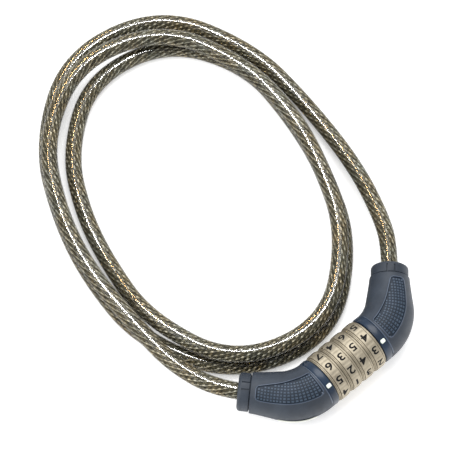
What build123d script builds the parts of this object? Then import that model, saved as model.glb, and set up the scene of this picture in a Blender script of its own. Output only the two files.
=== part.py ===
"""Combination cable lock: four number dials between two elbow housings, and a coiled sleeved cable.

X runs along the dial axis with the key end at +X, +Y points towards the coil and +Z is up. The lock
lies flat. The origin is at the bottom centre of the lock without its cable. Sizes are in millimetres.
"""
from build123d import *
import math
import os

# ---- driving dimensions ----
DIAL_COUNT = 4
DIAL_PITCH = 7.0
DIAL_WIDTH = 6.8
DIAL_RADIUS = 12.1
DIGITS = 10
DIGIT_STEP = 360 / DIGITS

RING_RADIUS = 11.9
RING_INNER_X = 14.2          # face beside the dials
RING_OUTER_X = 17.8          # face against the elbow housing

BEND_ANGLE = 47
BEND_RADIUS = 19.5
SHELL_STRAIGHT = 14.0        # straight stretch after the bend
COLLAR_LENGTH = 5.7
SHELL_RADII = (12.0, 12.0, 11.7, 10.9, 10.0, 9.3)   # at even steps from the ring to the collar
SHELL_WALL = 1.6
COLLAR_RADIUS = 8.6
COLLAR_LIP = 1.4             # rounding of its free edge
ARC_LENGTH = math.radians(BEND_ANGLE) * BEND_RADIUS
SHELL_LENGTH = ARC_LENGTH + SHELL_STRAIGHT
ELBOW_LENGTH = SHELL_LENGTH + COLLAR_LENGTH

LABEL_THICKNESS = 0.15
LABEL_LENGTH = 17
LABEL_WIDTH = 2.8
LABEL_CENTRE = (34, -6, -1.7)

INDEX_ANGLE = 31             # the index mark's turn from the top, towards -Y
INDEX_RADIUS = 0.85

BARREL_RADIUS = 5.0
BARREL_BORE = 3.4
BARREL_END_X = 16.6
SLOT_WIDTH = 2.8
PIN_RADIUS = 3.3
TOOTH_TIP = 6.1
RUNNING_FIT = 0.05

CODE_RING_RADIUS = 8.0
CHAMBER_RADIUS = 6.6
CODE_WALL_WIDTH = 2.0

ANCHOR_RADIUS = 6.6
FERRULE_RADIUS = 4.5
FERRULE_LENGTH = 10

CABLE_RADIUS = 4.0
CORE_RADIUS = 2.9
SLEEVE_BORE = 3.0
CABLE_FIT = 0.1

# ---- the coil: outline radii of each turn, one every STATION degrees from FIRST_STATION ----
COIL_CENTRE = (6, 108)
STATION = 30
FIRST_STATION = -30
TURN_RADII = (
    (74, 69, 80, 98, 96, 78, 65, 65, 77, 91, 93, 74),
    (60, 59, 71, 82, 79, 64, 54, 54, 68, 89, 90, 71),
    (58, 58, 67, 84, 87, 76, 65, 65, 76),
)
LEAD_OUT = (-50, 85, 10.0)    # angle, radius and height beside the key end
LEAD_IN = (943, 88.5, 12.2)     # the same beside the body end
FLOOR_TURN = CABLE_RADIUS     # height of the turns that lie on the table
CLIMB_HEIGHT = 8.8
TOP_TURN = 12.6               # height of the turn that lies on the others
FIRST_HEIGHT = 6.5
CLIMB_STATION = 20            # where the second turn starts to climb over the first

X_AXIS_PLANE = Plane.YZ       # discs are drawn on this plane and grow along +X


def disc(radius, x_from, x_to, bore=0.0):
    """A round plate about the dial axis, between two places on it."""
    plate = extrude(X_AXIS_PLANE.offset(x_from) * Circle(radius), x_to - x_from)
    if bore:
        plate -= extrude(X_AXIS_PLANE.offset(x_from - 1) * Circle(bore), x_to - x_from + 2)
    return plate


def block(size, centre):
    """A box of the given size about a point."""
    return Pos(*centre) * Box(*size)


def about_axis(piece, angle):
    """Turns a piece about the dial axis; a positive angle takes the top towards -Y."""
    return Rot(X=angle) * piece


def dial_centre(index):
    return (index - (DIAL_COUNT - 1) / 2) * DIAL_PITCH


# ---- dials ----
def number_dial(index):
    """Outer ring: stepped rims, a wide shoulder and ten raised pads for the digits."""
    half = DIAL_WIDTH / 2
    outline = [(half, 10.5), (half, 11.1), (half - 0.5, 11.1), (half - 0.5, 11.5), (half - 0.9, 11.5)]
    outline += [(half - 1.3, DIAL_RADIUS)]
    profile = [(-x, r) for x, r in outline] + [(x, r) for x, r in reversed(outline)]
    profile += [(half, CODE_RING_RADIUS), (-half, CODE_RING_RADIUS)]
    face = make_face(Plane.XZ * Polyline(*profile, close=True))
    ring = revolve(face, Axis.X, 360)
    groove = block((4.2, 1.2, 1.0), (0, 0, DIAL_RADIUS))
    for digit in range(DIGITS):
        ring -= about_axis(groove, (digit + 0.5) * DIGIT_STEP)
    return Pos(dial_centre(index), 0, 0) * ring


def code_ring(index):
    """Inner ring: one notched wall that stops a key tooth, and a chamber where the tooth stands."""
    half = DIAL_WIDTH / 2
    ring = disc(CODE_RING_RADIUS, -half, half, BARREL_RADIUS + RUNNING_FIT)
    ring -= disc(CHAMBER_RADIUS, -half, half - CODE_WALL_WIDTH)
    ring -= block((DIAL_WIDTH + 1, SLOT_WIDTH, CHAMBER_RADIUS), (0, 0, CHAMBER_RADIUS / 2))
    flute = extrude(X_AXIS_PLANE.offset(-half) * Pos(0, CHAMBER_RADIUS, 0) * Circle(0.7), 4.8)
    for digit in range(DIGITS):
        ring -= about_axis(flute, digit * DIGIT_STEP)
    return Pos(dial_centre(index), 0, 0) * ring


# ---- the fixed barrel and what is on it ----
def barrel():
    """Slotted tube that the dials turn on, with a flange inside the body housing."""
    tube = disc(BARREL_RADIUS, -RING_OUTER_X, BARREL_END_X)
    tube += disc(7.5, -20.2, -RING_OUTER_X)
    tube -= disc(BARREL_BORE, -RING_OUTER_X + 2, BARREL_END_X + 1)
    slot_from = -RING_INNER_X
    slot = block((BARREL_END_X - slot_from + 1, SLOT_WIDTH, 6), ((BARREL_END_X + slot_from + 1) / 2, 0, 4))
    spring_seat = block((28.4, 3.0, 1.0), (0, 0, -4.9))
    snap_groove = disc(7, 15.25, 16.05, 4.6)
    return tube - slot - spring_seat - snap_groove


def detent_spring():
    """Leaf in the underside of the barrel; one bump clicks in each code ring."""
    leaf = block((28.0, 2.6, 0.25), (0, 0, -4.55))
    for index in range(DIAL_COUNT):
        x = dial_centre(index) - 1.0
        hoop = Pos(x, 0, -4.5) * Rot(X=90) * (Cylinder(1.7, 2.6) - Cylinder(1.4, 3))
        leaf += hoop & block((4, 3, 3), (x, 0, -6.1))
    return leaf


def retaining_washer():
    """Keeps the dials on the barrel; its notch lets the key teeth through."""
    washer = disc(7.6, 14.1, 15.2, BARREL_RADIUS + RUNNING_FIT)
    return washer - block((3, SLOT_WIDTH, 5), (14.6, 0, 4.2))


def snap_ring():
    """Open ring in the barrel's end groove, with its gap at the slot."""
    ring = disc(6.2, 15.3, 16.0, 4.65)
    return ring - block((3, 4.4, 8), (15.6, 0, 4))


def locking_pin():
    """Key rod with a head behind the end ring and one tooth for each dial."""
    rod = disc(PIN_RADIUS, -13, RING_OUTER_X)
    rod += disc(6.4, RING_OUTER_X, 20.2)
    rod = chamfer(rod.edges().group_by(Axis.X)[0], 0.8)
    for index in range(DIAL_COUNT):
        tooth = block((1.8, 2.2, TOOTH_TIP - 2), (dial_centre(index) - 0.8, 0, (TOOTH_TIP + 2) / 2))
        rod += tooth
    return rod


# ---- the two elbows, drawn on the +X side; the other is its mirror image ----
def elbow_plane(distance):
    """Plane across the elbow's centre line, a distance along it from the end ring."""
    angle = min(distance / BEND_RADIUS, math.radians(BEND_ANGLE))
    straight = max(distance - ARC_LENGTH, 0)
    x = RING_OUTER_X + BEND_RADIUS * math.sin(angle) + straight * math.cos(angle)
    y = BEND_RADIUS * (1 - math.cos(angle)) + straight * math.sin(angle)
    return Plane(origin=(x, y, 0), x_dir=(0, 0, 1), z_dir=(math.cos(angle), math.sin(angle), 0))


def elbow_rod(radius, start, end):
    """A round bar along the elbow's centre line."""
    bar = extrude(elbow_plane(end) * Circle(radius), -(end - max(start, ARC_LENGTH)))
    if start < ARC_LENGTH:
        first = elbow_plane(start)
        pivot = Axis((RING_OUTER_X, BEND_RADIUS, 0), (0, 0, 1))
        bar += revolve(first * Circle(radius), pivot, math.degrees((ARC_LENGTH - start) / BEND_RADIUS))
    return bar


def elbow_skin(offset, start=0.0, end=SHELL_LENGTH):
    """The tapering outside of the elbow, grown by an offset, as one smooth loft."""
    steps = len(SHELL_RADII) - 1
    sections = []
    for k, radius in enumerate(SHELL_RADII):
        distance = start + (end - start) * k / steps
        sections.append(elbow_plane(distance) * Circle(radius + offset))
    return loft(sections)


def shell_half(side):
    """Upper (+1) or lower (-1) half of a hollow elbow housing."""
    hollow = elbow_skin(0) - elbow_skin(-SHELL_WALL)
    return hollow & block((120, 120, 40), (30, 0, side * 20))


def collar():
    """End cap that the cable enters, with a rounded lip and two short grooves above and below."""
    bottom = (Align.CENTER, Align.CENTER, Align.MIN)
    cap = Cylinder(COLLAR_RADIUS, COLLAR_LENGTH, align=bottom)
    cap = fillet(cap.edges().group_by(Axis.Z)[-1], COLLAR_LIP)
    cap -= Cylinder(CABLE_RADIUS + CABLE_FIT, COLLAR_LENGTH, align=bottom)
    for side in (-1, 1):
        for across in (-1.7, 1.7):
            cap -= Pos(side * COLLAR_RADIUS, across, 2) * Box(1.0, 0.5, 4)
    return elbow_plane(SHELL_LENGTH).location * cap


def anchor():
    """Solid metal core of an elbow, with a pocket for the ferrule and holes for two set screws."""
    pocket_from = SHELL_LENGTH - FERRULE_LENGTH - 1
    core = elbow_rod(ANCHOR_RADIUS, 4.0, SHELL_LENGTH - 0.9)
    core -= extrude(elbow_plane(pocket_from) * Circle(FERRULE_RADIUS), FERRULE_LENGTH + 6)
    for screw in screw_places():
        core -= screw * Cylinder(1.25, 20, align=(Align.CENTER, Align.CENTER, Align.MIN))
    return core


def screw_places():
    """Radial seats of the set screws, above the ferrule."""
    seats = []
    for distance in (SHELL_LENGTH - 9, SHELL_LENGTH - 4):
        seats.append(Plane(elbow_plane(distance).origin, x_dir=(1, 0, 0), z_dir=(0, 0, 1)).location)
    return seats


def set_screws():
    """Two headless screws that clamp the ferrule, with hexagon sockets."""
    screws = []
    for seat in screw_places():
        body = seat * Pos(0, 0, FERRULE_RADIUS) * Cylinder(
            1.25, 2.0, align=(Align.CENTER, Align.CENTER, Align.MIN))
        socket = seat * Pos(0, 0, FERRULE_RADIUS + 1.0) * extrude(RegularPolygon(0.7, 6), 2)
        screws.append(body - socket)
    return Compound(screws)


def ferrule():
    """Steel sleeve pressed on the end of the cable's core."""
    start = SHELL_LENGTH - FERRULE_LENGTH - 1
    tube = extrude(elbow_plane(start) * Circle(FERRULE_RADIUS), FERRULE_LENGTH)
    return tube - extrude(elbow_plane(start + 1) * Circle(SLEEVE_BORE), FERRULE_LENGTH)


def end_ring(bore, pin_bore):
    """Glossy ring between a housing and the dials."""
    ring = disc(RING_RADIUS, RING_INNER_X, RING_OUTER_X, pin_bore)
    ring -= disc(bore, RING_INNER_X - 1, RING_OUTER_X - 1)
    return ring - index_seat(2)


def index_seat(height):
    """Round seat of the index mark, on the side that faces the reader."""
    place = Pos((RING_INNER_X + RING_OUTER_X) / 2, 0, RING_RADIUS - 0.6)
    pin = place * Cylinder(INDEX_RADIUS, height, align=(Align.CENTER, Align.CENTER, Align.MIN))
    return about_axis(pin, INDEX_ANGLE)


def index_mark():
    return index_seat(0.65)


def label_strip():
    """Thin blank strip stuck along the outer bend of the body housing."""
    skin = elbow_skin(LABEL_THICKNESS) - elbow_skin(0.0)
    window = Pos(*LABEL_CENTRE) * Rot(Z=BEND_ANGLE) * Box(LABEL_LENGTH, 30, LABEL_WIDTH)
    return skin & window


def mirrored(piece):
    """The same piece on the body side, across the middle of the dials."""
    return mirror(piece, Plane.YZ)


# ---- the cable ----
def turned_point(angle, radius, height):
    x = COIL_CENTRE[0] + radius * math.cos(math.radians(angle))
    y = COIL_CENTRE[1] + radius * math.sin(math.radians(angle))
    return Vector(x, y, height - DIAL_RADIUS)


def cable_points():
    """Corners of the cable's route from the key end to the body end, with its heights above the table."""
    inside = elbow_plane(SHELL_LENGTH - 0.8).origin
    outside = elbow_plane(ELBOW_LENGTH + 10).origin
    points = [inside, outside, turned_point(*LEAD_OUT)]
    angle, number = FIRST_STATION, 0
    for turn in TURN_RADII:
        for radius in turn:
            if number == 0:
                height = FIRST_HEIGHT
            elif number < CLIMB_STATION:
                height = FLOOR_TURN
            elif number == CLIMB_STATION:
                height = CLIMB_HEIGHT
            else:
                height = TOP_TURN
            points.append(turned_point(angle, radius, height))
            angle, number = angle + STATION, number + 1
    outside = elbow_plane(ELBOW_LENGTH + 9).origin
    points += [turned_point(*LEAD_IN), Vector(-outside.X, outside.Y, 0), Vector(-inside.X, inside.Y, 0)]
    return points


def corner_radii(points):
    """Each corner's arc: as large as its two runs allow."""
    radii = []
    for before, corner, after in zip(points, points[1:], points[2:]):
        run = min((corner - before).length, (after - corner).length)
        turn = math.radians((corner - before).get_angle(after - corner))
        radii.append(0.45 * run / math.tan(turn / 2))
    return radii


def tube(path, radius, bore=0.0):
    """A round tube along a path of straight runs and tangent arcs."""
    start = Plane(origin=path @ 0, z_dir=path % 0)
    section = start * Circle(radius)
    if bore:
        section = section - start * Circle(bore)
    return sweep(section, path=path)


def cable():
    """The cable's sleeve and its steel core, which runs on into both ferrules."""
    points = cable_points()
    radii = corner_radii(points)
    print("cable arc radii:", [round(r) for r in radii])
    path = FilletPolyline(*points, radius=radii)
    sleeve = tube(path, CABLE_RADIUS, SLEEVE_BORE)
    section = math.pi * (CABLE_RADIUS ** 2 - SLEEVE_BORE ** 2)
    ratio = sleeve.volume / (section * path.length)
    print(f"sleeve length {path.length:.1f}, volume over section x length {ratio:.5f}")
    deep = FERRULE_LENGTH - 2
    first, last = points[0], points[-1]
    points[0] = first + (first - points[1]).normalized() * deep
    points[-1] = last + (last - points[-2]).normalized() * deep
    core_path = FilletPolyline(*points, radius=radii)
    core = tube(core_path, CORE_RADIUS)
    ratio = core.volume / (math.pi * CORE_RADIUS ** 2 * core_path.length)
    print(f"core length {core_path.length:.1f}, volume over section x length {ratio:.5f}")
    return sleeve, core


# ---- assembly ----
nodes = {
    "barrel": barrel(),
    "detent_spring": detent_spring(),
    "retaining_washer": retaining_washer(),
    "snap_ring": snap_ring(),
    "left_shell_top": mirrored(shell_half(1)),
    "left_shell_bottom": mirrored(shell_half(-1)),
    "left_ring": mirrored(end_ring(BARREL_RADIUS, BARREL_RADIUS)),
    "left_index_mark": mirrored(index_mark()),
    "left_collar": mirrored(collar()),
    "left_anchor": mirrored(anchor()),
    "left_ferrule": mirrored(ferrule()),
    "left_set_screws": mirrored(set_screws()),
    "left_label": mirrored(label_strip()),
    "locking_pin": locking_pin(),
    "right_shell_top": shell_half(1),
    "right_shell_bottom": shell_half(-1),
    "right_ring": end_ring(8.2, PIN_RADIUS),
    "right_index_mark": index_mark(),
    "right_collar": collar(),
    "right_anchor": anchor(),
    "right_ferrule": ferrule(),
    "right_set_screws": set_screws(),
}
for index in range(DIAL_COUNT):
    nodes[f"number_dial_{index + 1}"] = number_dial(index)
    nodes[f"code_ring_{index + 1}"] = code_ring(index)

boxes = [piece.bounding_box() for piece in nodes.values()]
middle_y = (min(b.min.Y for b in boxes) + max(b.max.Y for b in boxes)) / 2
nodes["cable_sleeve"], nodes["cable_core"] = cable()

to_row_frame = Pos(0, -middle_y, DIAL_RADIUS)
print(f"dial axis at y {-middle_y:.3f}, z {DIAL_RADIUS}")
os.makedirs("parts", exist_ok=True)
for name, piece in nodes.items():
    export_step(to_row_frame * piece, f"parts/{name}.step")
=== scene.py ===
"""Bicycle combination cable lock: four number dials between two elbow housings, and a coiled cable.

The lock is drawn in millimetres with the dial axis as its X axis, and place() puts it in the row frame.
"""

import math
import bpy
import bmesh
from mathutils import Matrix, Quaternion, Vector


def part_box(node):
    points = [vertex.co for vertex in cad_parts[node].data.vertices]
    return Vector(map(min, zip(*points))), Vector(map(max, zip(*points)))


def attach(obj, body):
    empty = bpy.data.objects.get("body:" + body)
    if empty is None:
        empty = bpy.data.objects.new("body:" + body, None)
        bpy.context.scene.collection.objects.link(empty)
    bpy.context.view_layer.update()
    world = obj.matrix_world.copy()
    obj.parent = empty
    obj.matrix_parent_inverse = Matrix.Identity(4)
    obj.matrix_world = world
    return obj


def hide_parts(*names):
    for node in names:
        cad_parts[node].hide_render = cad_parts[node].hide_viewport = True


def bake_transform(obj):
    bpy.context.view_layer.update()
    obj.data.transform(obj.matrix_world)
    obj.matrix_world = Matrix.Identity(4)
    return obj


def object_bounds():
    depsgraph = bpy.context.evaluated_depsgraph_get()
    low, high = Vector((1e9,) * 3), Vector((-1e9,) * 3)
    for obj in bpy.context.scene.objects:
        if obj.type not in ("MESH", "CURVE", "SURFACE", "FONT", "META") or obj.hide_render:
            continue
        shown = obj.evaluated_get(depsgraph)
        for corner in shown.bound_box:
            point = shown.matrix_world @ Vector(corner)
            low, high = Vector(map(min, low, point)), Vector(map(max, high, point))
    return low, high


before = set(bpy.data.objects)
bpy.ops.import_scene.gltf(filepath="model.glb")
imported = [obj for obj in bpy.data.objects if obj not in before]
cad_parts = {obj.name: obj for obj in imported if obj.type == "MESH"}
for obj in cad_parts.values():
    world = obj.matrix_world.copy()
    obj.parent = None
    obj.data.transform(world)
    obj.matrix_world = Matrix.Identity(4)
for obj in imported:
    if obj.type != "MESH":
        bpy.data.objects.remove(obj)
cad_low, cad_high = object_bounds()

MM = 0.001
dial_low, dial_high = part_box("number_dial_1")
AXIS_Y = (dial_low[1] + dial_high[1]) / 2
AXIS_Z = (dial_low[2] + dial_high[2]) / 2

# ---- sizes repeated from part.py, in millimetres ----
DIAL_COUNT = 4
DIAL_PITCH = 7.0
DIAL_RADIUS = 12.1
DIGITS = 10
DIGIT_STEP = 360 / DIGITS
RING_RADIUS = 11.9
RING_INNER_X = 14.2
RING_OUTER_X = 17.8
BEND_ANGLE = math.radians(47)
BEND_RADIUS = 19.5
ARC_LENGTH = BEND_ANGLE * BEND_RADIUS
SHELL_LENGTH = ARC_LENGTH + 14.0
SHELL_RADII = (12.0, 12.0, 11.7, 10.9, 10.0, 9.3)
SHELL_WALL = 1.6
COLLAR_LENGTH = 5.7
COLLAR_RADIUS = 8.6
ELBOW_LENGTH = SHELL_LENGTH + COLLAR_LENGTH
CODE_RING_RADIUS = 8.0
CABLE_RADIUS = 4.0

COIL_CENTRE = (6, 108)
STATION = 30
FIRST_STATION = -30
# One row per turn, a radius every STATION degrees: a solver's fit, rounded and partly changed.
TURN_RADII = (
    (74, 69, 80, 98, 96, 78, 65, 65, 77, 91, 93, 74),
    (60, 59, 71, 82, 79, 64, 54, 54, 68, 89, 90, 71),
    (58, 58, 67, 84, 87, 76, 65, 65, 76),
)
LEAD_OUT = (-50, 85, 10.0)
LEAD_IN = (943, 88.5, 12.2)
FIRST_HEIGHT = 6.5
FLOOR_TURN = 4.0
CLIMB_STATION = 20
CLIMB_HEIGHT = 8.8
TOP_TURN = 12.6


def place(x, y, z):
    """A point of the lock's own frame, in metres in the row frame."""
    return Vector((x * MM, y * MM + AXIS_Y, z * MM + AXIS_Z))


# ---- camera ----
CAMERA_AZIMUTH = math.radians(-40.8)
CAMERA_ELEVATION = math.radians(66)
CAMERA_DISTANCE = 1.0
LENS = 172.8
AIM = (6.3, 89.3, -DIAL_RADIUS)      # on the table, in the lock's frame


def toward(azimuth, elevation):
    """Unit vector from the object to a camera or light there."""
    flat = math.cos(elevation)
    return Vector((math.sin(azimuth) * flat, -math.cos(azimuth) * flat, math.sin(elevation)))


def aimed(obj, position, target):
    """Puts a camera or light somewhere and turns it to look at a point."""
    obj.location = position
    obj.rotation_euler = (target - position).to_track_quat("-Z", "Y").to_euler()
    bpy.context.collection.objects.link(obj)
    return obj


aim_point = place(*AIM)
camera = bpy.data.objects.new("camera", bpy.data.cameras.new("camera"))
camera.data.lens = LENS
camera.data.sensor_width = 36
aimed(camera, aim_point + toward(CAMERA_AZIMUTH, CAMERA_ELEVATION) * CAMERA_DISTANCE, aim_point)
bpy.context.scene.camera = camera


# ---- making meshes ----
def make_piece(name, points, faces, material, crease=35, materials=()):
    """A mesh object from points in metres, with its normals outward and its sharp edges marked."""
    mesh = bpy.data.meshes.new(name)
    mesh.from_pydata([tuple(p) for p in points], [], faces)
    work = bmesh.new()
    work.from_mesh(mesh)
    bmesh.ops.recalc_face_normals(work, faces=work.faces)
    work.to_mesh(mesh)
    work.free()
    mesh.shade_smooth()
    mesh.set_sharp_from_angle(angle=math.radians(crease))
    for one in (material, *materials):
        mesh.materials.append(one)
    piece = bpy.data.objects.new(name, mesh)
    bpy.context.collection.objects.link(piece)
    return piece


def grid(rows, columns, wrap_rows=False, wrap_columns=True):
    """Quads between rows of points that follow each other in one list."""
    faces = []
    for row in range(rows if wrap_rows else rows - 1):
        here = row * columns
        above = (row + 1) % rows * columns
        for column in range(columns if wrap_columns else columns - 1):
            nearby = (column + 1) % columns
            faces.append((here + column, here + nearby, above + nearby, above + column))
    return faces


def smooth(value):
    """0 below 0, 1 above 1, and a smooth step between."""
    value = min(max(value, 0.0), 1.0)
    return value * value * (3 - 2 * value)


def between(table, at):
    """Reads a table of (place, value) pairs, with a smooth line through them."""
    if at <= table[0][0]:
        return table[0][1]
    for k, ((left, low), (right, high)) in enumerate(zip(table, table[1:])):
        if at <= right:
            before = table[max(k - 1, 0)]
            after = table[min(k + 2, len(table) - 1)]
            step = right - left
            share = (at - left) / step
            slope_in = (high - before[1]) / (right - before[0]) * step
            slope_out = (after[1] - low) / (after[0] - left) * step
            square, cube = share * share, share ** 3
            value = (2 * cube - 3 * square + 1) * low + (cube - 2 * square + share) * slope_in
            return value + (3 * square - 2 * cube) * high + (cube - square) * slope_out
    return table[-1][1]


# ---- node materials ----
class Finish:
    """A Principled material with a few node helpers."""

    def __init__(self, name, **constants):
        self.material = bpy.data.materials.new(name)
        self.material.use_nodes = True
        self.nodes = self.material.node_tree.nodes
        self.links = self.material.node_tree.links
        self.shader = self.nodes["Principled BSDF"]
        for socket, value in constants.items():
            self.shader.inputs[socket.replace("_", " ").title().replace("Ior", "IOR")].default_value = value
        self.bumps = None

    def node(self, kind, settings=None, **inputs):
        made = self.nodes.new("ShaderNode" + kind)
        for key, value in (settings or {}).items():
            setattr(made, key, value)
        for key, value in inputs.items():
            socket = made.inputs[key.replace("_", " ")]
            if isinstance(value, bpy.types.NodeSocket):
                self.links.new(value, socket)
            else:
                socket.default_value = value
        return made

    def spot(self, stretch):
        """Object coordinates, in millimetres, stretched."""
        coordinate = self.node("TexCoord").outputs["Object"]
        mapping = self.node("Mapping", Vector=coordinate)
        mapping.inputs["Scale"].default_value = [share / MM for share in stretch]
        return mapping.outputs["Vector"]

    def noise(self, size, detail=4.0, roughness=0.6, stretch=(1, 1, 1)):
        """Noise whose blobs are about size millimetres across."""
        where = self.spot([s / size for s in stretch])
        made = self.node("TexNoise", Vector=where, Scale=1.0, Detail=detail, Roughness=roughness)
        return made.outputs["Fac"]

    def ramp(self, value, *stops):
        """Colours or greys along a value; each stop is (place, colour)."""
        made = self.node("ValToRGB", Fac=value)
        elements = made.color_ramp.elements
        while len(elements) < len(stops):
            elements.new(0.5)
        for element, (at, colour) in zip(elements, stops):
            element.position = at
            element.color = colour if isinstance(colour, tuple) else (colour, colour, colour, 1)
        return made.outputs["Color"]

    def spread(self, value, low, high, out_low, out_high):
        made = self.node("MapRange", Value=value)
        ends = {"From Min": low, "From Max": high, "To Min": out_low, "To Max": out_high}
        for socket, number in ends.items():
            made.inputs[socket].default_value = number
        return made.outputs["Result"]

    def mix(self, amount, first, second, blend_type="MIX"):
        made = self.node("Mix", {"data_type": "RGBA", "blend_type": blend_type})
        for socket, value in ((0, amount), (6, first), (7, second)):
            if isinstance(value, bpy.types.NodeSocket):
                self.links.new(value, made.inputs[socket])
            else:
                made.inputs[socket].default_value = value
        return made.outputs[2]

    def colour(self, value):
        self.links.new(value, self.shader.inputs["Base Color"])
        return self

    def rough(self, value):
        self.links.new(value, self.shader.inputs["Roughness"])
        return self

    def bump(self, height, strength, depth_mm):
        made = self.node("Bump", Height=height, Strength=strength, Distance=depth_mm * MM)
        if self.bumps is not None:
            self.links.new(self.bumps, made.inputs["Normal"])
        self.bumps = made.outputs["Normal"]
        self.links.new(self.bumps, self.shader.inputs["Normal"])
        return self


def rgb(red, green, blue):
    """A colour given in the usual 0 to 255 steps, as a linear colour."""
    linear = []
    for part in (red, green, blue):
        part /= 255
        linear.append(part / 12.92 if part <= 0.04045 else ((part + 0.055) / 1.055) ** 2.4)
    return (*linear, 1.0)


def moulded(name, dark, mid, light, gloss_low, gloss_high, grain=0.35, **constants):
    """Moulded plastic: cloudy colour, fine spark-eroded grain and faint handling marks."""
    finish = Finish(name, **constants)
    cloud = finish.noise(9.0, 5)
    fine = finish.noise(0.28, 2, 0.7)
    scuff = finish.noise(2.6, 6, 0.75, (1, 1, 0.35))
    colour = finish.ramp(cloud, (0.3, dark), (0.5, mid), (0.72, light))
    worn = finish.ramp(scuff, (0.62, 0.0), (0.8, 0.35))
    finish.colour(finish.mix(worn, colour, light))
    finish.rough(finish.spread(scuff, 0.3, 0.75, gloss_low, gloss_high))
    finish.bump(fine, grain, 0.05)
    return finish


def metal(name, dark, light, rough_low, rough_high, lay=(1, 1, 1), grain=0.25, **constants):
    """Worked metal: tool marks drawn out along its lay, with cloudy tarnish."""
    finish = Finish(name, metallic=1.0, **constants)
    marks = finish.noise(0.5, 4, 0.7, lay)
    cloud = finish.noise(3.5, 5)
    blend = finish.mix(0.5, marks, cloud)
    finish.colour(finish.ramp(blend, (0.32, dark), (0.66, light)))
    finish.rough(finish.spread(marks, 0.3, 0.7, rough_low, rough_high))
    finish.bump(marks, grain, 0.03)
    return finish


# ---- the cable, built first ----
def elbow_place(distance, angle=0.0, radius=0.0, side=1, flip=1):
    """A point beside the elbow's centre line; angle grows from the top towards the outer bend."""
    turned = min(distance / BEND_RADIUS, BEND_ANGLE)
    straight = max(distance - ARC_LENGTH, 0)
    x = RING_OUTER_X + BEND_RADIUS * math.sin(turned) + straight * math.cos(turned)
    y = BEND_RADIUS * (1 - math.cos(turned)) + straight * math.sin(turned)
    out = radius * math.sin(angle)
    x += out * math.sin(turned)
    y -= out * math.cos(turned)
    return place(side * x, y, flip * radius * math.cos(angle))


def turned_point(angle, radius, height):
    x = COIL_CENTRE[0] + radius * math.cos(math.radians(angle))
    y = COIL_CENTRE[1] + radius * math.sin(math.radians(angle))
    return place(x, y, height - DIAL_RADIUS)


def cable_route():
    """The same corner points as part.py's cable, from the key end to the body end."""
    points = [elbow_place(SHELL_LENGTH - 0.8), elbow_place(ELBOW_LENGTH + 10), turned_point(*LEAD_OUT)]
    angle, number = FIRST_STATION, 0
    for turn in TURN_RADII:
        for radius in turn:
            if number == 0:
                height = FIRST_HEIGHT
            elif number < CLIMB_STATION:
                height = FLOOR_TURN
            elif number == CLIMB_STATION:
                height = CLIMB_HEIGHT
            else:
                height = TOP_TURN
            points.append(turned_point(angle, radius, height))
            angle, number = angle + STATION, number + 1
    points.append(turned_point(*LEAD_IN))
    points += [elbow_place(ELBOW_LENGTH + 9, side=-1), elbow_place(SHELL_LENGTH - 0.8, side=-1)]
    return points


def smooth_line(points, steps):
    """Points along the NURBS spline that has the route's points as its control points."""
    data = bpy.data.curves.new("cable_route", "CURVE")
    data.dimensions = "3D"
    spline = data.splines.new("NURBS")
    spline.points.add(len(points) - 1)
    for knot, point in zip(spline.points, points):
        knot.co = (*point, 1)
    spline.order_u = 3
    spline.use_endpoint_u = True
    spline.resolution_u = steps
    carrier = bpy.data.objects.new("cable_route", data)
    bpy.context.collection.objects.link(carrier)
    mesh = bpy.data.meshes.new_from_object(carrier)
    line = [vertex.co.copy() for vertex in mesh.vertices]
    bpy.data.objects.remove(carrier)
    bpy.data.meshes.remove(mesh)
    return line


def rotation_free_frames(line):
    """(point, side, up, distance) along a line, without twist."""
    frames = []
    distance = 0.0
    up = Vector((0, 0, 1))
    for k, point in enumerate(line):
        along = (line[min(k + 1, len(line) - 1)] - line[max(k - 1, 0)]).normalized()
        side = along.cross(up).normalized()
        up = side.cross(along)
        if k:
            distance += (point - line[k - 1]).length
        frames.append((point, side, up, distance))
    return frames


SLEEVE_SIDES = 28
STRANDS = 20
STRAND_ORBIT = 3.25
STRAND_RADIUS = 0.5
STRAND_LAY = 52.0             # mm along the cable for one turn of the strands
WIRES = 4
WIRE_LAY = 9.0
WIRE_DIP = 0.72
HEART_RADIUS = 2.9

cable_line = smooth_line(cable_route(), 32)
cable_frames = rotation_free_frames(cable_line)

sleeve_points = []
for point, side, up, distance in cable_frames:
    for k in range(SLEEVE_SIDES):
        angle = math.tau * k / SLEEVE_SIDES
        sleeve_points.append(point + (side * math.cos(angle) + up * math.sin(angle)) * CABLE_RADIUS * MM)
sleeve_faces = grid(len(cable_frames), SLEEVE_SIDES)
last_ring = (len(cable_frames) - 1) * SLEEVE_SIDES
sleeve_faces.append(tuple(range(SLEEVE_SIDES)))
sleeve_faces.append(tuple(last_ring + k for k in range(SLEEVE_SIDES)))


def rope_strand(number):
    """Ring points of one strand: WIRES wires twisted the other way round its own middle."""
    start = math.tau * number / STRANDS
    rings = []
    for point, side, up, distance in cable_frames:
        orbit = start + math.tau * distance / (STRAND_LAY * MM)
        out = side * math.cos(orbit) + up * math.sin(orbit)
        across = up * math.cos(orbit) - side * math.sin(orbit)
        middle = point + out * STRAND_ORBIT * MM
        twist = -math.tau * distance / (WIRE_LAY * MM)
        for k in range(2 * WIRES):
            angle = twist + math.pi * k / WIRES
            reach = STRAND_RADIUS * (WIRE_DIP if k % 2 else 1.0) * MM
            rings.append(middle + (out * math.cos(angle) + across * math.sin(angle)) * reach)
    return rings


rope_points, rope_faces = [], []


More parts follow.
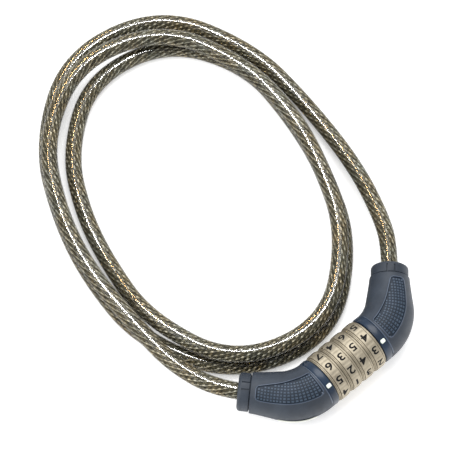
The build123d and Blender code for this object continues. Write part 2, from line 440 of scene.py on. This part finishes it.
def add_tube(rings, columns):
    """Adds a closed tube to the rope's mesh."""
    first = len(rope_points)
    rows = len(rings) // columns
    rope_points.extend(rings)
    for face in grid(rows, columns):
        rope_faces.append(tuple(first + k for k in face))
    rope_faces.append(tuple(first + k for k in range(columns)))
    rope_faces.append(tuple(first + (rows - 1) * columns + k for k in range(columns)))


for number in range(STRANDS):
    add_tube(rope_strand(number), 2 * WIRES)
heart = []
for point, side, up, distance in cable_frames:
    for k in range(STRANDS):
        angle = math.tau * k / STRANDS
        heart.append(point + (side * math.cos(angle) + up * math.sin(angle)) * HEART_RADIUS * MM)
add_tube(heart, STRANDS)

def wire_metal(name, dark, light, warm):
    """Drawn wire: patches of tone a few millimetres long, a cloudy warm tint and fine draw marks."""
    finish = Finish(name, metallic=1.0)
    patches = finish.noise(2.4, 3, 0.6)
    marks = finish.noise(0.5, 3, 0.7)
    tint = finish.ramp(finish.noise(11.0, 4), (0.35, rgb(236, 240, 240)), (0.68, warm))
    tone = finish.ramp(patches, (0.36, dark), (0.64, light))
    finish.colour(finish.mix(1.0, tone, tint, "MULTIPLY"))
    finish.rough(finish.spread(marks, 0.3, 0.7, 0.34, 0.5))
    finish.bump(marks, 0.15, 0.03)
    return finish


wire_finish = wire_metal("bright_strands", rgb(110, 108, 94), rgb(216, 213, 198), rgb(250, 234, 206))
# A darker copy of the same wire on every other strand: painted shade for the dark strokes between strands.
shaded_wire_finish = wire_metal("strands_painted_shade", rgb(44, 43, 35), rgb(120, 116, 96), rgb(240, 212, 168))
# The core is near-black so that it shows as painted shade in the gaps between strands.
heart_shade_finish = wire_metal("rope_heart_painted_shade", rgb(16, 15, 11), rgb(36, 33, 26), rgb(240, 214, 170))

sleeve_finish = Finish("clear_pvc_sleeve", roughness=0.12, alpha=0.3, ior=1.6)
sleeve_cloud = sleeve_finish.noise(16.0, 3)
sleeve_finish.colour(sleeve_finish.ramp(sleeve_cloud, (0.35, rgb(24, 25, 20)), (0.7, rgb(38, 36, 28))))
sleeve_finish.rough(sleeve_finish.spread(sleeve_finish.noise(3.0, 4), 0.3, 0.7, 0.1, 0.14))
sleeve_finish.bump(sleeve_finish.noise(14.0, 1), 0.03, 0.02)

key_collar_end = elbow_place(ELBOW_LENGTH)

wire_rope = make_piece(
    "cable_wire_rope", rope_points, rope_faces, wire_finish.material, 75,
    [shaded_wire_finish.material, heart_shade_finish.material])
strand_faces = (len(rope_faces) - len(grid(len(cable_frames), STRANDS)) - 2) // STRANDS
# Every other strand takes the darker wire and the core the near-black one: both are painted shade between
# the strands.
for face in wire_rope.data.polygons:
    number = face.index // strand_faces
    face.material_index = 2 if number >= STRANDS else number % 2
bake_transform(wire_rope)
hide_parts("cable_core")

sleeve = make_piece("cable_clear_sleeve", sleeve_points, sleeve_faces, sleeve_finish.material, 60)
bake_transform(sleeve)
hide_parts("cable_sleeve")

# ---- finishes of the lock ----
shell_finish = moulded(
    "slate_plastic", rgb(36, 43, 53), rgb(42, 50, 61), rgb(50, 58, 69), 0.45, 0.62, ior=1.45)
# A lighter copy of the slate plastic for the raised rim round the panels and the edge beside the ring: a
# painted highlight.
rim_highlight_finish = moulded(
    "slate_rim_highlight", rgb(58, 70, 88), rgb(66, 78, 96), rgb(78, 90, 108), 0.35, 0.5, ior=1.5)
panel_finish = moulded(
    "blue_grip", rgb(14, 26, 38), rgb(18, 32, 46), rgb(24, 38, 54), 0.5, 0.7, ior=1.45)
pad_finish = moulded(
    "grip_pads", rgb(50, 64, 80), rgb(60, 74, 90), rgb(74, 86, 102), 0.45, 0.65, ior=1.45)
ring_finish = moulded(
    "blue_gloss", rgb(8, 26, 44), rgb(11, 33, 54), rgb(16, 42, 66), 0.3, 0.4, 0.08,
    ior=1.45, coat_weight=0.15, coat_roughness=0.16)
dial_finish = metal(
    "satin_nickel", rgb(142, 133, 116), rgb(192, 183, 164), 0.48, 0.64, (0.25, 3, 3), 0.3)
digit_finish = moulded(
    "black_fill", rgb(10, 10, 10), rgb(14, 14, 14), rgb(22, 22, 22), 0.6, 0.8, ior=1.3)
mark_finish = moulded(
    "index_white", rgb(206, 216, 206), rgb(226, 234, 222), rgb(240, 244, 236), 0.3, 0.45, ior=1.5)
label_finish = moulded(
    "blank_strip", rgb(196, 198, 188), rgb(212, 214, 204), rgb(226, 226, 218), 0.35, 0.5, ior=1.5)
steel_finish = metal("turned_steel", rgb(120, 122, 126), rgb(190, 192, 196), 0.22, 0.4, (4, 1, 1))
spring_finish = metal("spring_steel", rgb(104, 108, 118), rgb(170, 176, 190), 0.2, 0.34, (1, 5, 1))
screw_finish = metal("black_screw", rgb(40, 40, 44), rgb(78, 78, 84), 0.3, 0.5)
zinc_finish = metal("cast_zinc", rgb(126, 128, 130), rgb(178, 180, 182), 0.4, 0.6, grain=0.5)

for node, finish in (
    ("barrel", steel_finish),
    ("detent_spring", spring_finish),
    ("retaining_washer", steel_finish),
    ("snap_ring", spring_finish),
    ("locking_pin", steel_finish),
    ("left_anchor", zinc_finish),
    ("right_anchor", zinc_finish),
    ("left_ferrule", steel_finish),
    ("right_ferrule", steel_finish),
    ("left_set_screws", screw_finish),
    ("right_set_screws", screw_finish),
    ("left_label", label_finish),
    ("code_ring_1", zinc_finish),
    ("code_ring_2", zinc_finish),
    ("code_ring_3", zinc_finish),
    ("code_ring_4", zinc_finish),
):
    for material_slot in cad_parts[node].material_slots:
        material_slot.material = finish.material


# ---- rings, dials and collars: turned shapes whose radius may change with the angle ----
def lathe(profile, angles, position):
    """Points of a closed profile of (along, radius) pairs; radius may be a function of angle."""
    points = []
    for angle in angles:
        for along, radius in profile:
            reach = radius(angle) if callable(radius) else radius
            points.append(position(along, angle, reach))
    return points, grid(len(angles), len(profile), wrap_rows=True)


def about_dials(along, angle, radius):
    """angle 0 is the top of the lock, and it grows towards -Y."""
    return place(along, -radius * math.sin(angle), radius * math.cos(angle))


PAD_HALF_WIDTH = 2.1
PAD_GAP = 0.8                 # mm between two pads, round the dial
PAD_DROP = 0.1
PAD_CORNER = 0.7
PAD_TOP = DIAL_RADIUS - 0.06
DIAL_BUMP = 0.3              # width of the pad's rounded edge
DIAL_ANGLES = 260
half_pad = (math.tau * PAD_TOP / DIGITS - PAD_GAP) / 2


def pad_radius(along, limit):
    """Radius of the dial face at a place across it: raised on the pads, lower in the gaps."""
    def at(angle):
        step = math.tau / DIGITS
        arc = ((angle + step / 2) % step - step / 2) * PAD_TOP
        across = max(abs(along) - (PAD_HALF_WIDTH - PAD_CORNER), 0)
        round_it = max(abs(arc) - (half_pad - PAD_CORNER), 0)
        outside = math.hypot(across, round_it) - PAD_CORNER
        return min(PAD_TOP - PAD_DROP * smooth(outside / DIAL_BUMP + 1), limit)
    return at


face_places = [-2.14, -2.06, -1.98, -1.9, -1.8, -1.7, -1.4, -0.9, -0.3]
face_places += [-at for at in reversed(face_places)]
half_profile = [
    (-3.38, 8.3), (-3.38, 10.5), (-3.38, 11.1), (-3.3, 11.2), (-3.0, 11.24), (-2.94, 11.26),
    (-2.9, 11.62), (-2.84, 11.7), (-2.5, 11.72), (-2.42, 11.66), (-2.38, 11.3), (-2.22, 11.3),
    (-2.18, 11.5),
]
dial_profile = list(half_profile)
for along in face_places:
    dial_profile.append((along, pad_radius(along, PAD_TOP)))
dial_profile += [(-along, radius) for along, radius in reversed(half_profile)]
dial_profile += [(3.2, CODE_RING_RADIUS), (-3.2, CODE_RING_RADIUS)]
dial_angles = [math.tau * k / DIAL_ANGLES for k in range(DIAL_ANGLES)]

DIGIT_HEIGHT = 3.8
DIGIT_WIDTH = 1.3            # how much wider than the built-in font
DIGIT_WEIGHT = 0.022         # how much heavier, in parts of the font's size
DIGIT_SINK = 0.25
DIGIT_PROUD = 0.015
SHOWN = (5, 2, 4, 3)          # the digits on the index line, from the body end
INDEX_ANGLE = math.radians(DIGIT_STEP)


def digit_mesh(digit):
    """Flat digit in millimetres, centred, as a thin plate cut into strips that can follow the dial."""
    data = bpy.data.curves.new(f"digit_{digit}", "FONT")
    data.body = str(digit)
    data.align_x = "CENTER"
    data.offset = DIGIT_WEIGHT
    data.extrude = 0.05
    data.resolution_u = 6
    text = bpy.data.objects.new(f"digit_{digit}", data)
    bpy.context.collection.objects.link(text)
    mesh = bpy.data.meshes.new_from_object(text)
    bpy.data.objects.remove(text)
    work = bmesh.new()
    work.from_mesh(mesh)
    bpy.data.meshes.remove(mesh)
    bmesh.ops.remove_doubles(work, verts=work.verts, dist=1e-5)
    tall = [vertex.co.y for vertex in work.verts]
    wide = [vertex.co.x for vertex in work.verts]
    size = DIGIT_HEIGHT / (max(tall) - min(tall))
    middle = Vector(((max(wide) + min(wide)) / 2, (max(tall) + min(tall)) / 2, 0))
    for vertex in work.verts:
        vertex.co = (vertex.co - middle) * size
        vertex.co.x *= DIGIT_WIDTH
        vertex.co.z = 1.0 if vertex.co.z > 0 else 0.0
    strips = 9
    for k in range(1, strips):
        height = DIGIT_HEIGHT * (k / strips - 0.5)
        everything = work.verts[:] + work.edges[:] + work.faces[:]
        bmesh.ops.bisect_plane(work, geom=everything, plane_co=(0, height, 0), plane_no=(0, 1, 0))
    points = [vertex.co.copy() for vertex in work.verts]
    faces = [tuple(vertex.index for vertex in face.verts) for face in work.faces]
    work.free()
    return points, faces


digit_shapes = [digit_mesh(digit) for digit in range(DIGITS)]


def dial_digits(centre_x, shown):
    """The ten digits of one dial, wrapped round its pads; digits count down towards the outer bend."""
    points, faces = [], []
    for step in range(DIGITS):
        points_flat, faces_flat = digit_shapes[(shown - step) % DIGITS]
        middle = INDEX_ANGLE + math.radians(step * DIGIT_STEP)
        first = len(points)
        for flat in points_flat:
            radius = PAD_TOP + (DIGIT_PROUD if flat.z > 0.5 else -DIGIT_SINK)
            points.append(about_dials(centre_x - flat.x, middle + flat.y / PAD_TOP, radius))
        for face in faces_flat:
            faces.append(tuple(first + k for k in face))
    return points, faces


for index in range(DIAL_COUNT):
    centre_x = (index - (DIAL_COUNT - 1) / 2) * DIAL_PITCH
    body = f"dial_{index + 1}"
    points, faces = lathe(dial_profile, dial_angles, lambda a, t, r: about_dials(centre_x + a, t, r))
    dial = make_piece(f"dial_{index + 1}_ring", points, faces, dial_finish.material, 30)
    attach(dial, body)
    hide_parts(f"number_dial_{index + 1}")
    points, faces = dial_digits(centre_x, SHOWN[index])
    digits = make_piece(f"dial_{index + 1}_digits", points, faces, digit_finish.material, 30)
    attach(digits, body)

RING_ANGLES = 160
ring_angles = [math.tau * k / RING_ANGLES for k in range(RING_ANGLES)]

for side, name, body, bore, pin_bore in (
    (-1, "left", "housing", 5.0, 5.0),
    (1, "right", "plug", 8.2, 3.3),
):
    ring_profile = [
        (RING_OUTER_X - 0.02, pin_bore), (RING_OUTER_X - 1, pin_bore + 0.02), (RING_OUTER_X - 1, bore),
        (RING_INNER_X + 0.02, bore), (RING_INNER_X + 0.02, 11.35), (RING_INNER_X + 0.12, 11.6),
        (RING_INNER_X + 0.35, 11.78), (RING_INNER_X + 0.75, 11.86), (RING_INNER_X + 1.6, 11.88),
        (RING_OUTER_X - 0.75, 11.86), (RING_OUTER_X - 0.32, 11.74), (RING_OUTER_X - 0.2, 11.55),
        (RING_OUTER_X - 0.02, 11.5),
    ]
    points, faces = lathe(ring_profile, ring_angles, lambda a, t, r: about_dials(side * a, t, r))
    ring = make_piece(f"{name}_gloss_ring", points, faces, ring_finish.material, 40)
    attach(ring, body)
    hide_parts(f"{name}_ring")

MARK_ANGLE = math.radians(31)
MARK_X = 16.0
MARK_HALF_LONG = 1.15
MARK_HALF_ROUND = 0.95
MARK_SHAPE = 4                # 2 is an ellipse, more is squarer
MARK_STEPS = 40
MARK_RINGS = ((1.0, 11.7), (1.0, 11.9), (0.94, 11.96), (0.8, 11.98), (0.4, 11.98))


def index_plate(side):
    """A small rounded plate, set in the ring, that the digits are read against."""
    points = []
    for share, radius in MARK_RINGS:
        for k in range(MARK_STEPS):
            turn = math.tau * k / MARK_STEPS
            powers = abs(math.cos(turn)) ** MARK_SHAPE + abs(math.sin(turn)) ** MARK_SHAPE
            round_off = powers ** (-1 / MARK_SHAPE)
            along = MARK_HALF_LONG * share * round_off * math.cos(turn)
            across = MARK_HALF_ROUND * share * round_off * math.sin(turn)
            points.append(about_dials(side * (MARK_X + along), MARK_ANGLE + across / RING_RADIUS, radius))
    faces = grid(len(MARK_RINGS), MARK_STEPS)
    faces.append(tuple(range(MARK_STEPS)))
    faces.append(tuple((len(MARK_RINGS) - 1) * MARK_STEPS + k for k in range(MARK_STEPS)))
    return points, faces


for side, name, body in ((-1, "left", "housing"), (1, "right", "plug")):
    points, faces = index_plate(side)
    mark = make_piece(f"{name}_index_plate", points, faces, mark_finish.material, 50)
    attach(mark, body)
    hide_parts(f"{name}_index_mark")

# ---- collars: a rounded lip, a groove behind it and short axial slits above and below ----
SLIT_ACROSS = 1.7
SLIT_HALF = 0.26
SLIT_DEPTH = 0.5
SLIT_LENGTH = 4.0
slit_angles = []
for middle in (0, math.pi):
    for across in (-SLIT_ACROSS, SLIT_ACROSS):
        for edge in (-SLIT_HALF - 0.06, -SLIT_HALF + 0.02, SLIT_HALF - 0.02, SLIT_HALF + 0.06):
            slit_angles.append((middle + (across + edge) / COLLAR_RADIUS) % math.tau)
collar_angles = sorted(slit_angles + [math.tau * (k + 0.5) / 120 for k in range(120)])


def collar_reach(along, radius):
    """Radius of the collar's outside, cut by the slits near the shell."""
    def at(angle):
        if along > SLIT_LENGTH:
            return radius
        for middle in (0, math.pi, math.tau):
            for across in (-SLIT_ACROSS, SLIT_ACROSS):
                if abs((angle - middle) * COLLAR_RADIUS - across) < SLIT_HALF:
                    return min(radius, COLLAR_RADIUS - SLIT_DEPTH)
        return radius
    return at


collar_outside = [
    (0.0, 7.7), (0.34, 7.75), (0.42, 8.3), (0.55, 8.48), (0.8, 8.55), (2.0, 8.58),
    (SLIT_LENGTH - 0.05, 8.58), (SLIT_LENGTH + 0.05, 8.58), (4.5, 8.53), (4.9, 8.38),
    (5.25, 8.08), (5.5, 7.7), (5.64, 7.3), (5.68, 7.0),
]
collar_profile = [(along, collar_reach(along, radius)) for along, radius in collar_outside]
collar_profile += [(5.68, 4.7), (5.6, 4.4), (5.3, 4.15), (4.6, 4.12), (0.0, 4.12)]

for side, name, body in ((-1, "left", "housing"), (1, "right", "plug")):
    points, faces = lathe(
        collar_profile, collar_angles, lambda a, t, r: elbow_place(SHELL_LENGTH + a, t, r, side))
    collar = make_piece(f"{name}_end_collar", points, faces, shell_finish.material, 38)
    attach(collar, body)
    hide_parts(f"{name}_collar")

# ---- elbow shells, with a recessed grip panel above and below ----
PANEL_START = 1.45            # mm along the elbow from the ring to the panel's wide end
PANEL_END = 27.4
PANEL_CORNER = 1.1
PANEL_INNER = ((0, -19), (6, -18.5), (10, -17.5), (14, -14.5), (18, -9.5), (22, -5.5), (27, 0))
PANEL_OUTER = ((0, 38.5), (5, 36.5), (10, 36), (15, 37), (20, 38.5), (24, 38.5), (27, 36.5))
FACE_SINK = 0.2               # how far the shell's face lies inside SHELL_RADII
RIM_HEIGHT = 0.16
RIM_WIDTH = 0.4
PANEL_DEPTH = 0.45
EDGE_ROUND = 0.16             # how far the shell's own edges are eased
shell_table = [(SHELL_LENGTH * k / 5, radius) for k, radius in enumerate(SHELL_RADII)]


def shell_radius(distance):
    return between(shell_table, distance)


def panel_edges(distance):
    """Angles of the panel's two long edges there."""
    inner = between(PANEL_INNER, distance)
    outer = between(PANEL_OUTER, distance)
    return math.radians(inner), math.radians(outer)


def inside_panel(distance, angle):
    """How far inside the panel's outline a point is, in mm, negative outside it."""
    radius = shell_radius(distance)
    inner, outer = panel_edges(distance)
    lengthwise = min(distance - PANEL_START, PANEL_END - distance)
    crosswise = min(angle - inner, outer - angle) * radius
    if lengthwise < PANEL_CORNER and crosswise < PANEL_CORNER:
        return PANEL_CORNER - math.hypot(PANEL_CORNER - lengthwise, PANEL_CORNER - crosswise)
    return min(lengthwise, crosswise)


def relief(depth_inside):
    """Height of the shell's face: raised rim round the panel, then the sunken floor."""
    rise = smooth((depth_inside + RIM_WIDTH + 0.2) / 0.2)
    fall = smooth((depth_inside + 0.06) / 0.16)
    return RIM_HEIGHT * rise - (RIM_HEIGHT + PANEL_DEPTH) * fall


EDGE_OFFSETS = (-0.62, -0.56, -0.48, -0.4, -0.24, -0.06, 0.02, 0.1, 0.25)


def shell_angles(distance):
    """Angles of one station across half the shell, with lines along the panel's edges."""
    radius = shell_radius(distance)
    inner, outer = panel_edges(distance)
    quarter = math.pi / 2
    first = inner + EDGE_OFFSETS[0] / radius
    last = outer - EDGE_OFFSETS[0] / radius
    ease = EDGE_ROUND / radius
    angles = [-quarter, -quarter + ease]
    angles += [-quarter + ease + (first + quarter - ease) * k / 14 for k in range(1, 14)]
    angles += [inner + offset / radius for offset in EDGE_OFFSETS]
    start, stop = inner + EDGE_OFFSETS[-1] / radius, outer - EDGE_OFFSETS[-1] / radius
    angles += [start + (stop - start) * k / 18 for k in range(1, 18)]
    angles += [outer - offset / radius for offset in reversed(EDGE_OFFSETS)]
    angles += [last + (quarter - ease - last) * k / 12 for k in range(1, 12)]
    return angles + [quarter - ease, quarter]


shell_stations = [0.0, 0.16, 0.4]
shell_stations += [PANEL_START + offset for offset in EDGE_OFFSETS[1:]]
shell_stations += [PANEL_START + 0.5 + (PANEL_END - PANEL_START - 1.6) * k / 56 for k in range(57)]
shell_stations += [PANEL_END - 0.9, PANEL_END - 0.7, PANEL_END - 0.5]
shell_stations += [PANEL_END - offset for offset in reversed(EDGE_OFFSETS)]
shell_stations += [28.7, 29.3, SHELL_LENGTH - 0.3, SHELL_LENGTH - 0.14, SHELL_LENGTH]


INSIDE = -9                   # stands for a depth at the points of the shell's inner face
RIM_STATIONS = 3              # the first stations, whose face gets the lighter rim colour as a painted highlight along the edge beside the ring


def shell_half(side, flip):
    """Outside, inside and edges of one half, and how far inside the panel each point is."""
    points, depths = [], []
    for distance in shell_stations:
        angles = shell_angles(distance)
        ends = min(distance, SHELL_LENGTH - distance)
        for k, angle in enumerate(angles):
            eased = smooth(ends / EDGE_ROUND) if ends < EDGE_ROUND else 1.0
            if k in (0, len(angles) - 1):
                eased = 0.0
            deep = inside_panel(distance, angle)
            depths.append(deep)
            radius = shell_radius(distance) - FACE_SINK + relief(deep) - EDGE_ROUND * (1 - eased)
            points.append(elbow_place(distance, angle, radius, side, flip))
        for angle in reversed(angles):
            depths.append(INSIDE)
            points.append(elbow_place(distance, angle, shell_radius(distance) - SHELL_WALL, side, flip))
    columns = 2 * len(angles)
    rows = len(shell_stations)
    faces = grid(rows, columns)
    for row in (0, rows - 1):
        for k in range(len(angles) - 1):
            first = row * columns
            faces.append((first + k, first + k + 1, first + columns - 2 - k, first + columns - 1 - k))
    return points, faces, depths


PAD_PITCH = 1.42
PAD_BASE = 0.5                # half a pad's side at the floor
PAD_FACE = 0.36               # and at its face
PAD_HEIGHT = 0.3
PAD_SUNK = 0.1                # how far a pad's foot goes below the floor
PAD_MARGIN = 0.75             # from the panel's edges to the first pads' middles
MOST_ROWS = 14


def grip_pads(side, flip):
    """Rows of small square pads that stand on the panel's floor, parallel to its outer edge."""
    points, faces = [], []
    distance = PANEL_START + PAD_MARGIN
    while distance < PANEL_END - 0.5:
        radius = shell_radius(distance)
        outer = panel_edges(distance)[1]
        for row in range(MOST_ROWS):
            angle = outer - (PAD_MARGIN + row * PAD_PITCH) / radius
            if inside_panel(distance, angle) < PAD_BASE + 0.12:
                continue
            first = len(points)
            low = radius - FACE_SINK - PANEL_DEPTH - PAD_SUNK
            for half, reach in ((PAD_BASE, low), (PAD_FACE, low + PAD_SUNK + PAD_HEIGHT)):
                for across, along in ((-1, -1), (1, -1), (1, 1), (-1, 1)):
                    there = angle + across * half / radius
                    points.append(elbow_place(distance + along * half, there, reach, side, flip))
            for corner in range(4):
                beside = (corner + 1) % 4
                faces.append((first + corner, first + beside, first + beside + 4, first + corner + 4))
            faces.append((first + 3, first + 2, first + 1, first))
            faces.append((first + 4, first + 5, first + 6, first + 7))
        distance += PAD_PITCH
    return points, faces


for side, name, body in ((-1, "left", "housing"), (1, "right", "plug")):
    for flip, half in ((1, "top"), (-1, "bottom")):
        points, faces, depths = shell_half(side, flip)
        shell = make_piece(
            f"{name}_elbow_{half}", points, faces, shell_finish.material, 38,
            [panel_finish.material, rim_highlight_finish.material])
        rim_points = RIM_STATIONS * len(depths) // len(shell_stations)
        for face in shell.data.polygons:
            nearest = min(depths[k] for k in face.vertices)
            # Index 2 is the lighter rim colour, a painted highlight on the ring-side edge and on the raised
            # rim round the panel.
            if max(face.vertices) < rim_points and nearest > INSIDE:
                face.material_index = 2
            if nearest > -0.09:
                face.material_index = 1
            elif nearest > -RIM_WIDTH - 0.05:
                face.material_index = 2
        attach(shell, body)
        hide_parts(f"{name}_shell_{half}")
        points, faces = grip_pads(side, flip)
        pads = make_piece(f"{name}_grip_{half}", points, faces, pad_finish.material, 20)
        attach(pads, body)

# ---- floor, world and lights ----
FLOOR_HALF = 3.0
floor_finish = Finish("pale_floor", roughness=0.9, emission_color=(1, 1, 1, 1), emission_strength=0.4)
floor_cloud = floor_finish.noise(60, 3)
floor_finish.colour(floor_finish.ramp(floor_cloud, (0.3, rgb(250, 250, 250)), (0.7, rgb(254, 254, 254))))
floor_corners = []
for x, y in ((-1, -1), (1, -1), (1, 1), (-1, 1)):
    floor_corners.append((x * FLOOR_HALF, y * FLOOR_HALF, cad_low[2]))
floor = make_piece("floor", floor_corners, [(0, 1, 2, 3)], floor_finish.material)

world = bpy.data.worlds.new("studio")
bpy.context.scene.world = world
world.use_nodes = True
world.node_tree.nodes["Background"].inputs["Color"].default_value = (1, 1, 1, 1)
world.node_tree.nodes["Background"].inputs["Strength"].default_value = 0.75
bpy.context.scene.view_settings.view_transform = "Standard"


def mirror_angles(tilt, heading):
    """Azimuth and elevation of a light that the camera sees mirrored in a face tilted off level.

    heading is the way the face leans, in degrees from the picture's right towards its top.
    """
    right = Vector((math.cos(CAMERA_AZIMUTH), math.sin(CAMERA_AZIMUTH), 0))
    ahead = Vector((-math.sin(CAMERA_AZIMUTH), math.cos(CAMERA_AZIMUTH), 0))
    lean = right * math.cos(math.radians(heading)) + ahead * math.sin(math.radians(heading))
    normal = Vector((0, 0, 1)) * math.cos(math.radians(tilt)) + lean * math.sin(math.radians(tilt))
    view = toward(CAMERA_AZIMUTH, CAMERA_ELEVATION)
    ray = 2 * normal.dot(view) * normal - view
    return math.degrees(math.atan2(ray.x, -ray.y)), math.degrees(math.asin(ray.z))


def panel_light(name, where, distance, size, power, colour=(1, 1, 1), roll=0, only=()):
    """A rectangular light at an azimuth and elevation; only= names the pieces that it lights, if not all."""
    azimuth, elevation = where
    width, height = size
    data = bpy.data.lights.new(name, "AREA")
    data.shape = "RECTANGLE"
    data.size = width
    data.size_y = height
    data.energy = power
    data.color = colour
    position = aim_point + toward(math.radians(azimuth), math.radians(elevation)) * distance
    light = aimed(bpy.data.objects.new(name, data), position, aim_point)
    turned = light.rotation_euler.to_quaternion() @ Quaternion((0, 0, 1), math.radians(roll))
    light.rotation_euler = turned.to_euler()
    if only:
        lit = bpy.data.collections.new(f"lit_by_{name}")
        for piece in only:
            lit.objects.link(piece)
        light.light_linking.receiver_collection = lit
    return light


panel_light("overhead", (139, 66), 1.3, (1.0, 1.0), 12)
panel_light("key", (-110, 48), 1.4, (0.9, 0.9), 10)
panel_light("white_strip", mirror_angles(6, 245), 1.2, (0.95, 0.3), 100, roll=-25, only=[sleeve])
panel_light("warm_strip", mirror_angles(11, 155), 1.2, (0.7, 0.14), 22, (1.0, 0.6, 0.22), 65, [sleeve])
